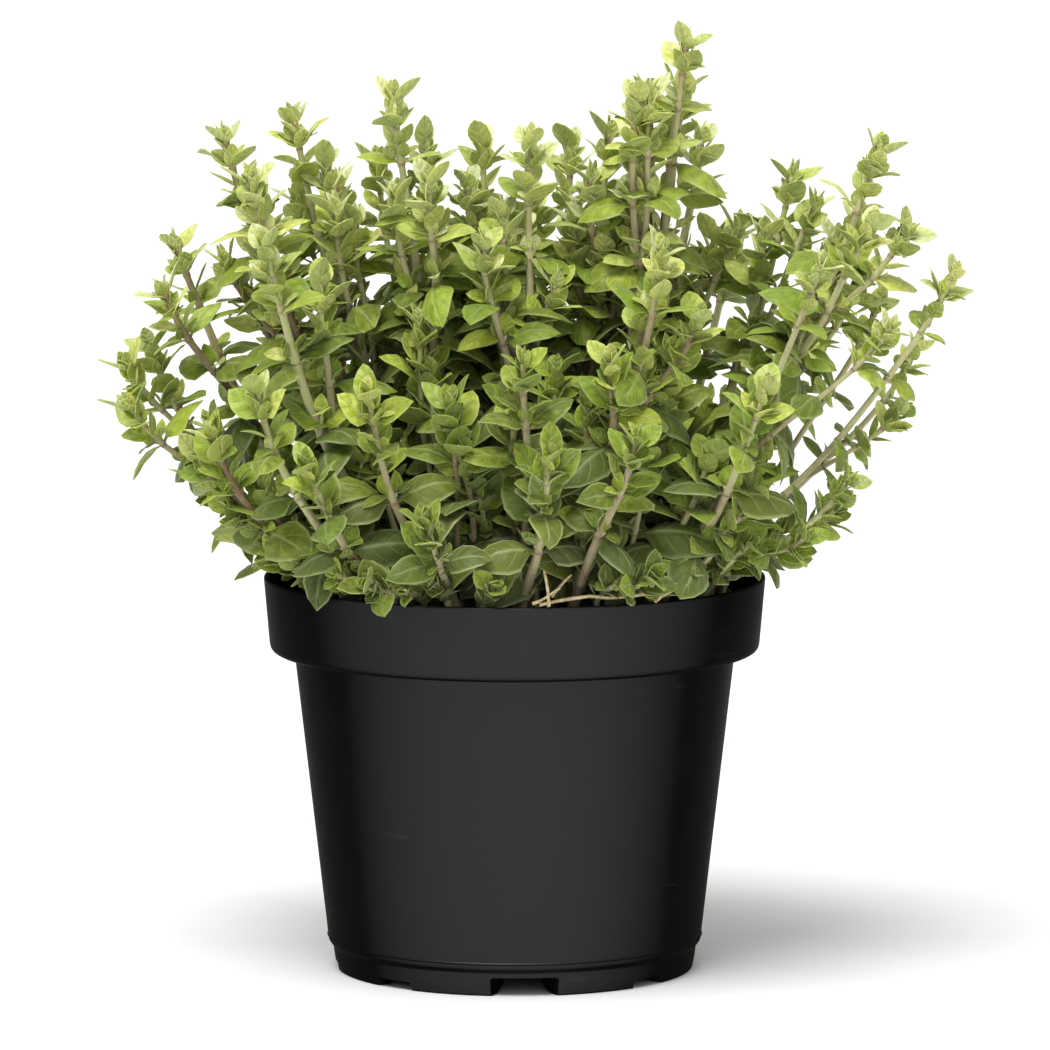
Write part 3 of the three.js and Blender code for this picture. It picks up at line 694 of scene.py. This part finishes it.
def addTube(bm, line, layers, tipWidth, sunk=0.0):
    # a square stem with softened corners: each ring is extruded from the one before it
    sides = stemForm["sides"]
    rings = [(placeAt(line, ring[0]), *ring) for ring in tubeRings(line)]
    if sunk:
        rings.insert(0, (placeAt(line, 0) - directionAt(line, 0) * sunk, 0.0, 1, False))
    ring = bmesh.ops.create_circle(bm, cap_ends=True, segments=sides, radius=1)["verts"]
    for i, (place, share, widthShare, isKnot) in enumerate(rings):
        if i:
            ring = nextRing(bm, ring)
        along = directionAt(line, share)
        width = mixed(line["width"], tipWidth, share ** stemForm["taper"]) * widthShare
        aged = line["age"] * (1 - stemForm["tipYouth"] * share)
        for k, v in enumerate(ring):
            corner = stemForm["cornerShare"] if k % 2 else stemForm["flatShare"]
            v.co = place + across(along, line["turn"] + k * fullTurn / sides) * width * corner
            v[layers["age"]] = aged + stemForm["knotAge"] * isKnot
            v[layers["tint"]] = max(line["tint"], stemForm["knotTint"] * isKnot)
    bmesh.ops.contextual_create(bm, geom=ring)


leafForm = {
    "tipLength": 8.8, "growth": 0.27, "mostLength": 14.8, "widthShare": 0.67, "widthSpread": 0.12,
    "youngHalf": 0.48, "oldHalf": 0.53, "widest": 0.76, "baseRound": 0.48, "tipRound": 0.68,
    "petiole": 0.13, "petioleWidth": 0.13, "rootOffset": 0.3,
    # how a blade is folded across, curled at its margins and tip, twisted, skewed and ruffled
    "youngCup": 0.3, "leastCup": -0.52, "mostCup": 0.25, "recurve": 0.27, "tipCurl": 1.05,
    "twist": 0.5, "skew": 0.12, "ruffle": 0.1, "ruffleTurns": 9,
    "cupPower": 1.2, "recurvePower": 3, "curlFrom": 0.5, "twistFrom": 0.3,
    "thickness": 0.32, "edgeThickness": 0.14, "columns": 4, "rows": 6, "smallColumns": 2, "smallRows": 6,
    "rowBunching": 0.4,  # how far rows crowd towards the base and the tip
    "weld": 0.01, "sharpFrom": 50,  # in degrees: flatter edges are shaded smooth
}
# How leaves are held, in radians: young ones point up and bend in, old ones spread and hang.
leafHabit = {
    "youngRise": 0.84, "riseLoss": 0.018, "leastRise": -0.35, "riseSpread": 0.28, "turnSpread": 0.3,
    "rollSpread": 0.4, "lengthSpread": 0.16, "youngBend": -0.08, "oldBend": 0.14, "bendSpread": 0.36,
    "grownAt": 22, "highTilt": 0.2, "lowTilt": 0.9, "topLight": 0.5,
    # painted shade: how far down leaves are painted darker, and how much less at the plant's sides, as painted
    # side light
    "shadeDepth": 95, "paintedShadePower": 0.9, "paintedShadeAge": 0.66, "sideLight": 0.64, "paintedSideLightReach": 100,
    "agedAt": 32, "ownAge": 0.45, "ageSpread": 0.12,
}
# How near a leaf may come to the rim, the wall's two sides and the soil, and how near its margins may.
potClearance = {
    "above": 0.6, "inside": 6.5, "marginInside": 2.2, "outside": 0.8, "soil": 0.5,
    "midribPlaces": (0.3, 0.55, 0.8, 1),  # where along a leaf its midrib and its margins are tested
    "marginPlaces": (0.2, 0.3, 0.4, 0.5, 0.6, 0.7, 0.8, 0.9, 1),
}


def lowness(place):
    # 0 in the upper half of the plant, rising to 1 at the soil
    return max(0, min(1, 1 - (place.z - soilTop) / leafHabit["shadeDepth"]))


def leafPlan(line, distance, node, twin):
    key = line["key"]
    share = 1 - distance / line["length"]
    place, along = placeAt(line, share), directionAt(line, share)
    turn = line["turn"] + (node + 2 * twin) * math.pi / 2
    radial = across(along, turn + spread(key, node, twin, leafHabit["turnSpread"]))
    rise = max(leafHabit["youngRise"] - distance * leafHabit["riseLoss"], leafHabit["leastRise"])
    pitch = rise + spread(key, node, 2 + twin, leafHabit["riseSpread"])
    direction = raised(radial, along, pitch)
    tilt = mixed(leafHabit["highTilt"], leafHabit["lowTilt"], lowness(place))
    normal = squared(along + outwardFrom(place) * tilt + Vector((0, 0, leafHabit["topLight"])), direction)
    normal.rotate(Quaternion(direction, spread(key, node, 4 + twin, leafHabit["rollSpread"])))
    size = min(leafForm["tipLength"] + distance * leafForm["growth"], leafForm["mostLength"])
    size *= line["leafShare"]
    grown = min(1, distance / leafHabit["grownAt"])
    oldBend = leafHabit["oldBend"] + leafHabit["bendSpread"] * chance(key, node, 10 + twin)
    return {
        "root": place + radial * leafForm["rootOffset"], "direction": direction, "normal": normal,
        "along": along, "radial": radial, "distance": distance, "grown": grown,
        "length": size * (1 + spread(key, node, 6 + twin, leafHabit["lengthSpread"])),
        "bend": mixed(leafHabit["youngBend"], oldBend, grown), "seed": key * 7 + node * 2 + twin,
    }


def leafAgeAndPaintedShade(plan):
    # young leaves are yellow-green and older ones darker; low leaves get painted shade, and leaves far to the
    # plant's left and right get less of it, as painted side light
    habit = leafHabit
    own = habit["ownAge"] * min(1, plan["distance"] / habit["agedAt"])
    paintedShade = habit["paintedShadeAge"] * lowness(plan["root"]) ** habit["paintedShadePower"]
    # painted side light: leaves far to the left and right of the pot's axis get less of the painted shade
    paintedShade *= 1 - habit["sideLight"] * min(1, abs(plan["root"].x) / habit["paintedSideLightReach"])
    return max(0, min(1, own + paintedShade + spread(plan["seed"], 1, 3, habit["ageSpread"])))


def bladeWidth(share):
    # half width of an ovate blade, broad at its base and blunt at its tip
    if not 0 < share < 1:
        return 0
    roundness = mixed(leafForm["baseRound"], leafForm["tipRound"], share)
    return math.sin(math.pi * share ** leafForm["widest"]) ** roundness


def clearOfPot(points, side="inside"):
    # a leaf may hang over the rim, but not through the wall or into the soil
    inside, outside = rimRadius - potClearance[side], rimRadius + potClearance["outside"]
    for point in points:
        out = point.xy.length
        if point.z < potHeight + potClearance["above"] and inside < out < outside:
            return False
        if point.z < soilTop + potClearance["soil"] and out < rimRadius:
            return False
    return True


def addLeaf(bm, plan, layers, columns, rows):
    form, direction, normal, length = leafForm, plan["direction"], plan["normal"], plan["length"]
    sideways = direction.cross(normal)
    seed, grown, petiole = plan["seed"], plan["grown"], form["petiole"]
    half = length * form["widthShare"] * mixed(form["youngHalf"], form["oldHalf"], grown)
    half *= 1 + spread(seed, 2, 5, form["widthSpread"])
    oldCup = mixed(form["leastCup"], form["mostCup"], chance(seed, 3, 5))
    cup = mixed(form["youngCup"], oldCup, grown)
    recurve, curl = form["recurve"] * grown, form["tipCurl"] * grown
    twist, skew = spread(seed, 4, 5, form["twist"]), spread(seed, 5, 5, form["skew"])
    ruffle, phase = form["ruffle"] * chance(seed, 6, 5), 6 * chance(seed, 7, 5)

    def surface(u, v):
        # u from -1 to 1 across, v from 0 to 1 along
        blade = max(0, (v - petiole) / (1 - petiole))
        width = max(bladeWidth(blade), form["petioleWidth"] * (1 - blade) ** 2) * half
        side, wave = abs(u), math.sin(phase + form["ruffleTurns"] * v)
        lift = cup * side ** form["cupPower"] - recurve * side ** form["recurvePower"] + ruffle * side * wave
        lift *= width
        lift -= (plan["bend"] * v * v + curl * max(0, v - form["curlFrom"]) ** 2) * length
        angle = twist * (v - form["twistFrom"])
        level = u * width
        return (plan["root"] + direction * (v * length)
                + sideways * (level * math.cos(angle) + skew * length * v * v)
                + normal * (lift + level * math.sin(angle)))

    midrib = [surface(0, v) for v in potClearance["midribPlaces"]]
    margins = [surface(u, v) for v in potClearance["marginPlaces"] for u in (-1, 1)]
    if not (clearOfPot(midrib) and clearOfPot(margins, "marginInside")):
        return False
    rowPlaces = [0.0]
    for i in range(rows):
        evenly = i / (rows - 1)
        bunched = mixed(evenly, (1 - math.cos(math.pi * evenly)) / 2, form["rowBunching"])
        rowPlaces.append(petiole + (1 - petiole) * bunched)
    made = bmesh.ops.create_grid(bm, x_segments=columns, y_segments=rows, size=0.5, calc_uvs=True)["verts"]
    age, tint = leafAgeAndPaintedShade(plan), chance(seed, 8, 5)
    for vert in made:
        row = round((vert.co.y + 0.5) * rows)
        vert.co = surface(vert.co.x * 2, rowPlaces[row])
        vert[layers["age"]] = age
        vert[layers["tint"]] = tint
    for face in onceEach(f for vert in made for f in vert.link_faces):
        face.material_index = upperSkin
    return True


def growLeaves(bm, line, layers):
    grown = []
    for node, distance in enumerate(pairDistances(line["length"])):
        for twin in (0, 1):
            plan = leafPlan(line, distance, node, twin)
            isInner = plan["radial"].dot(outwardFrom(plan["root"])) < 0
            if distance > line["leafyFor"] and isInner:
                continue
            if addLeaf(bm, plan, layers, leafForm["columns"], leafForm["rows"]):
                grown.append((plan, node))
    return grown


# Short leafy shoots in the axils of the leaves, and the closed bud of small leaves at each stem's tip.
axilForm = {
    "firstNode": 1, "bareShare": 0.7, "smallTo": 24, "fullAt": 85, "growth": 0.7,  # mm from the tip
    "shortest": 1.2, "longest": 15, "leastGrown": 0.35, "rise": 0.85, "up": 0.2, "rootRise": 0.8,
    "stalkFoot": 0.54, "stalkTop": 0.36, "stalkSides": 5, "stalkAge": 0.1, "stalkTint": 0.3,
    "pairGap": 5.5, "leastPairs": 1, "crowding": 0.8, "rootSunk": 0.3,
    "leafLength": 6.2, "leafShare": (0.9, 1.3), "leafGrowth": 0.5, "leafSpread": 0.2, "turnSpread": 0.3,
    "tipPitch": 1.0, "lowPitch": 0.25, "pitchOver": 9, "pitchSpread": 0.25, "tilt": 0.5,
    "youngBend": -0.15, "oldBend": 0.3, "agedBy": 6, "tipGrown": 0.2, "grownOver": 10,
}
budForm = {
    "distances": (0.2, 1.7, 3.8, 6.8, 10.6), "leafLength": 5.2, "growth": 0.34, "grown": 0.15,
    "steep": 1.3, "flatter": 0.055, "spread": 0.2, "bend": -0.1,
}


def growAxilShoot(bm, plan, layers, reachShare):
    form, seed = axilForm, plan["seed"]
    grown = reachShare * mixed(form["leastGrown"], 1, chance(seed, 1, 21))
    length = mixed(form["shortest"], form["longest"], grown)
    direction = raised(plan["radial"], plan["along"], form["rise"]) + Vector((0, 0, form["up"]))
    direction.normalize()
    base = plan["root"] + plan["along"] * form["rootRise"]
    tip = base + direction * length
    if not clearOfPot([tip]):
        return
    for v in addRod(bm, base, tip, form["stalkSides"], form["stalkFoot"], form["stalkTop"]):
        v[layers["age"]], v[layers["tint"]] = form["stalkAge"], form["stalkTint"]
    quarter = chance(seed, 2, 21) * math.pi
    light = outwardFrom(base) * form["tilt"] + Vector((0, 0, form["tilt"]))
    for pair in range(form["leastPairs"] + int(length / form["pairGap"])):
        down = pair * form["pairGap"] * form["crowding"]
        if down > length:
            break
        for twin in (0, 1):
            item = 2 * pair + twin
            turn = quarter + pair * math.pi / 2 + twin * math.pi
            radial = across(direction, turn + spread(seed, item, 22, form["turnSpread"]))
            pitch = mixed(form["tipPitch"], form["lowPitch"], min(1, down / form["pitchOver"]))
            pitch += spread(seed, item, 23, form["pitchSpread"])
            way = raised(radial, direction, pitch)
            size = form["leafLength"] * mixed(*form["leafShare"], reachShare) + down * form["leafGrowth"]
            small = {
                "root": tip - direction * (down + form["rootSunk"]), "direction": way,
                "normal": squared(direction + light, way),
                "length": size * (1 + spread(seed, item, 24, form["leafSpread"])),
                "bend": mixed(form["youngBend"], form["oldBend"], chance(seed, item, 25)),
                "grown": min(1, form["tipGrown"] + down / form["grownOver"]),
                "seed": seed * 11 + item, "distance": down + form["agedBy"],
            }
            addLeaf(bm, small, layers, leafForm["smallColumns"], leafForm["smallRows"])


def growBud(bm, line, layers):
    form, key = budForm, line["key"]
    for pair, distance in enumerate(form["distances"]):
        for twin in (0, 1):
            plan = leafPlan(line, distance, pair, twin)
            radial = across(plan["along"], line["turn"] + (pair + 2 * twin + 0.5) * math.pi / 2)
            pitch = form["steep"] - form["flatter"] * distance + spread(key, pair, 44 + twin, form["spread"])
            way = raised(radial, plan["along"], pitch)
            size = form["leafLength"] + distance * form["growth"]
            plan.update(
                direction=way, normal=squared(plan["along"], way), length=size * line["leafShare"],
                grown=form["grown"], bend=spread(key, pair, 46 + twin, form["spread"]) + form["bend"],
                seed=plan["seed"] + 5,
            )
            addLeaf(bm, plan, layers, leafForm["smallColumns"], leafForm["smallRows"])


def thickenLeaves(bm):
    # each open sheet becomes a thin closed blade: the sheet turns over to be its underside
    sheets = [f for f in bm.faces if f.material_index == upperSkin]
    bmesh.ops.remove_doubles(bm, verts=onceEach(v for f in sheets for v in f.verts), dist=leafForm["weld"])
    sheets = [f for f in bm.faces if f.material_index == upperSkin]
    bm.normal_update()
    thin, thick = leafForm["edgeThickness"], leafForm["thickness"]
    upwards = {tuple(v.co): v.normal * (thin if v.is_boundary else thick) for f in sheets for v in f.verts}
    made = bmesh.ops.extrude_face_region(bm, geom=sheets, use_keep_orig=True)["geom"]
    upper = [g for g in made if isinstance(g, bmesh.types.BMFace)]
    for v in onceEach(v for face in upper for v in face.verts):
        v.co += upwards[tuple(v.co)]
    walls = {f for face in upper for e in face.edges for f in e.link_faces}.difference(upper)
    for face in sheets:
        face.material_index = underSkin
    bm.normal_update()
    for edge in {e for face in walls for e in face.edges}:
        if edge.calc_face_angle(0) > math.radians(leafForm["sharpFrom"]):
            edge.smooth = False


def startPlant():
    bm = bmesh.new()
    bm.loops.layers.uv.new("leafMap")
    layers = {name: bm.verts.layers.float.new(name) for name in plantLayers}
    return bm, layers


def growPlant(name, lines, *nodes):
    bm, layers = startPlant()
    form = axilForm
    for line in lines:
        sunk = stemForm["underSoil"] if line is lines[0] else 0
        addTube(bm, line, layers, stemForm["tipRadius"], sunk)
    for line in lines:
        growBud(bm, line, layers)
        for plan, node in growLeaves(bm, line, layers):
            isBare = plan["distance"] > line["bareFrom"] and chance(plan["seed"], 3, 21) < form["bareShare"]
            if node >= form["firstNode"] and not isBare:
                past = (plan["distance"] - form["smallTo"]) / (form["fullAt"] - form["smallTo"])
                growAxilShoot(bm, plan, layers, max(0, min(1, past)) ** form["growth"])
    smoothAll(bm)
    thickenLeaves(bm)
    finishPiece(bm, name, plantSkins, "foliage", *nodes)


# Stems on the plant's left may be darker than those on its right, whose low ones are thin and bare.
stemLook = {
    "left": -100, "right": 100, "leftTint": 1, "rightTint": 0.5, "leastAge": 0.6, "mostWidth": 1.35,
    "thinPast": 75, "thinBelow": 195, "thinBareFrom": 10, "thinLeafyFor": 30, "thinWidth": 0.56,
    "thinLeafShare": 0.76, "fullPast": -60,
}


def stemLinesOf(i):
    look, plan = stemLook, stems[i]
    lines = stemLines(plan, i * keyStep)
    lines += sideLines(lines[0], i * keyStep, sideForm["placed"].get(i, []))
    tipX, _, tipZ = plan[1]
    toRight = (tipX - look["left"]) / (look["right"] - look["left"])
    for line in lines:
        line["tint"] = chance(i, 3, 31) * mixed(look["leftTint"], look["rightTint"], toRight)
        line["age"] = mixed(look["leastAge"], 1, chance(i, 4, 31))
        if tipX > look["thinPast"] and tipZ < look["thinBelow"]:
            line["bareFrom"], line["leafyFor"] = look["thinBareFrom"], look["thinLeafyFor"]
            line["width"] *= look["thinWidth"]
            line["leafShare"] *= look["thinLeafShare"]
        else:
            line["width"] *= mixed(1, look["mostWidth"], chance(i, 7, 31))
        if tipX < look["fullPast"]:
            line["bareFrom"] = line["length"]
    return lines


for i in range(len(stems)):
    growPlant(f"leafyStem_{i + 1:02d}", stemLinesOf(i), f"leafy_stem_{i + 1:02d}")
print("stems ready", len(stems))

# Young shoots low in the pot, and others that lean over its rim, too fine for solids of their own.
lowShoots = {
    "count": 66, "inner": 8, "outer": 54, "lean": 17, "leanSpread": 4, "lowest": 14, "highest": 92,
    "innerHeight": 1.1, "outerHeight": 0.35, "tipRise": 8, "upright": 0.4, "sag": 1.5, "width": 0.7,
    "leafShare": (0.95, 1.3), "key": 5000,
}
rimShoots = {
    "count": 54, "inner": 50, "outer": 57, "reach": 70, "reachSpread": 5, "lowest": 109, "highest": 121,
    "turnSpread": 0.12, "rise": 8, "sag": -1.5, "leafShare": (0.6, 0.92), "key": 7000,
    "gapAt": 4.85, "gapHalf": 0.17,  # a gap at the front, where straw lies over the rim
}
goldenShare = 0.381966
shootPieces = 8


def aroundPot(angle, out, z):
    return Vector((out * math.cos(angle), out * math.sin(angle), z))


def lowShootLine(i):
    form = lowShoots
    around = (i + chance(i, 1, 41)) * fullTurn * goldenShare
    outShare = math.sqrt(chance(i, 2, 41))
    out = mixed(form["inner"], form["outer"], outShare)
    start = aroundPot(around, out, stemForm["startZ"])
    height = mixed(form["innerHeight"], form["outerHeight"], out / form["outer"])
    rise = mixed(form["lowest"], form["highest"], chance(i, 3, 41) * height)
    lean = form["lean"] * out / form["outer"] + spread(i, 4, 41, form["leanSpread"])
    reach = start + aroundPot(around, lean, rise + form["tipRise"])
    low = start + Vector((0, 0, rise * form["upright"]))
    key, leafShare = form["key"] + i * keyStep, mixed(*form["leafShare"], chance(i, 5, 41))
    return around, growthLine(start, low, reach, form["sag"], key, form["width"], leafShare)


def rimShootLine(i):
    form = rimShoots
    around = (i + chance(i, 1, 51)) * fullTurn / form["count"]
    start = aroundPot(around, mixed(form["inner"], form["outer"], chance(i, 2, 51)), stemForm["startZ"])
    top = mixed(form["lowest"], form["highest"], chance(i, 4, 51))
    side = around + spread(i, 5, 51, form["turnSpread"])
    reach = aroundPot(side, form["reach"] + spread(i, 3, 51, form["reachSpread"]), top)
    low, width = start + Vector((0, 0, form["rise"])), lowShoots["width"]
    key, leafShare = form["key"] + i * keyStep, mixed(*form["leafShare"], chance(i, 6, 51))
    return around, growthLine(start, low, reach, form["sag"], key, width, leafShare)


def growLowShoots():
    groups = [[] for _ in range(shootPieces)]
    rims = [rimShootLine(i) for i in range(rimShoots["count"])]
    rims = [(around, line) for around, line in rims
            if abs(around % fullTurn - rimShoots["gapAt"]) > rimShoots["gapHalf"]]
    shoots = [lowShootLine(i) for i in range(lowShoots["count"])] + rims
    for i, (around, line) in enumerate(shoots):
        line["tint"], line["bareFrom"] = chance(i, 6, 41), 0
        groups[int(around / fullTurn % 1 * shootPieces)].append(line)
    for i, lines in enumerate(groups):
        growPlant(f"youngShoots_{i + 1}", lines)


growLowShoots()
print("young shoots ready")


def makeDryStalk(i, plan):
    bm, layers = startPlant()
    line = stemLines(plan, (len(stems) + i) * keyStep)[0]
    addTube(bm, line, layers, stemForm["dryTipRadius"], sunk=stemForm["underSoil"])
    smoothAll(bm)
    finishPiece(bm, f"dryStalk_{i + 1:02d}", [straw], "dry_stalk", f"dry_stalk_{i + 1:02d}")


for i, plan in enumerate(dryStalks):
    makeDryStalk(i, plan)

# Bits of straw: a few that lie over the front rim, as (start, end, radius), and loose ones on the soil.
strawForm = {
    "placed": [
        ((6, -64.4, 104.2), (37, -55, 105.9), 0.55),
        ((8.6, -65.2, 103.4), (7.6, -62.5, 112), 0.5),
        ((4.2, -64.6, 104.4), (11.5, -64, 108), 0.42),
        ((9.5, -64, 106), (14.5, -60, 111), 0.4),
        ((-29, -54, 113), (-21, -57, 106), 0.5),
        ((36, -57, 104), (47, -50, 108.5), 0.45),
    ],
    "loose": 40, "shortest": 6, "longest": 24, "thin": 0.25, "thick": 0.6, "taper": 0.7, "sides": 7,
    "reach": 55, "lift": 1.2, "tilt": 0.15, "wallGap": 6,
    "bends": 6, "bendEvery": 0.13, "crooked": 1.1, "crookedSeed": 1,
}


def makeStrawBits():
    form = strawForm
    bits = [(Vector(start), Vector(end), radius) for start, end, radius in form["placed"]]
    for i in range(form["loose"]):
        around, out = chance(i, 1, 61) * fullTurn, math.sqrt(chance(i, 2, 61)) * form["reach"]
        middle = aroundPot(around, out, soilTop - soilForm["sunk"] + form["lift"])
        half = aroundPot(chance(i, 3, 61) * fullTurn, 1, spread(i, 4, 61, form["tilt"]))
        half *= mixed(form["shortest"], form["longest"], chance(i, 5, 61) ** 2) / 2
        if max((middle + half).xy.length, (middle - half).xy.length) < rimRadius - form["wallGap"]:
            radius = mixed(form["thin"], form["thick"], chance(i, 6, 61))
            bits.append((middle - half, middle + half, radius))
    bm = bmesh.new()
    for start, end, radius in bits:
        addRod(bm, start, end, form["sides"], radius, radius * form["taper"])
    ends = {face for face in bm.faces if len(face.verts) > 4}
    sides = [e for e in bm.edges if not ends.intersection(e.link_faces)]
    bmesh.ops.subdivide_edges(bm, edges=sides, cuts=form["bends"])
    noise.seed_set(form["crookedSeed"])
    for v in bm.verts:
        v.co += noise.noise_vector(v.co * form["bendEvery"]) * form["crooked"]
    for face in bm.faces:
        face.smooth = len(face.verts) == 4
    finishPiece(bm, "strawBits", [straw], "dry_stalk")


makeStrawBits()
print("straw ready")

stage = {"floorSize": 60.0, "floorColor": "#f6f6f5", "skyColor": "#ffffff", "skyStrength": 0.56}  # in metres
sun = {"from": (-0.3, -0.75, 1.8), "strength": 2.7, "angle": 36}
softbox = {"place": (0.5, -1.9, 0.75), "target": (0, 0, 0.1), "size": (0.7, 1.2), "power": 3.5}
view = {
    "fromAxis": (2.7, -2183, 388), "lookAt": (2.7, 0, 116), "focalPixels": 8461, "imagePixels": 1050,
    "sensorWidth": 36, "farClip": 100,
}


def aimed(direction):
    return Vector(direction).to_track_quat("-Z", "Y").to_euler()


def makeStage():
    bm = bmesh.new()
    bmesh.ops.create_grid(bm, x_segments=1, y_segments=1, size=stage["floorSize"] / 2)
    floor = meshObject(bm, "paleFloor")
    material, tree, shader = newMaterial("palePaper")
    setInputs(tree, shader, {
        "Base Color": hexColor(stage["floorColor"]), "Roughness": 0.9, "Specular IOR Level": 0.1,
    })
    floor.data.materials.append(material)
    world = bpy.data.worlds.new("studio")
    world.use_nodes = True
    tree = world.node_tree
    setInputs(tree, tree.nodes["Background"], {
        "Color": hexColor(stage["skyColor"]), "Strength": stage["skyStrength"],
    })
    bpy.context.scene.world = world


def addLamp(name, kind, place, target, energy, **settings):
    lamp = bpy.data.lights.new(name, kind)
    lamp.energy = energy
    for key, value in settings.items():
        setattr(lamp, key, value)
    holder = bpy.data.objects.new(name, lamp)
    holder.location = place
    holder.rotation_euler = aimed(Vector(target) - Vector(place))
    bpy.context.scene.collection.objects.link(holder)


def makeCamera():
    place, target = fromPotAxis @ Vector(view["fromAxis"]), fromPotAxis @ Vector(view["lookAt"])
    data = bpy.data.cameras.new("camera")
    data.sensor_width = view["sensorWidth"]
    data.lens = data.sensor_width * view["focalPixels"] / view["imagePixels"]
    data.clip_end = view["farClip"]
    camera = bpy.data.objects.new("camera", data)
    camera.location = place
    camera.rotation_euler = aimed(target - place)
    bpy.context.scene.collection.objects.link(camera)
    bpy.context.scene.camera = camera


makeStage()
addLamp("keyLight", "SUN", sun["from"], (0, 0, 0), sun["strength"], angle=math.radians(sun["angle"]))
addLamp("frontLight", "AREA", softbox["place"], softbox["target"], softbox["power"],
        shape="RECTANGLE", size=softbox["size"][0], size_y=softbox["size"][1])
makeCamera()
bpy.context.scene.view_settings.view_transform = "Standard"
print("stage ready")
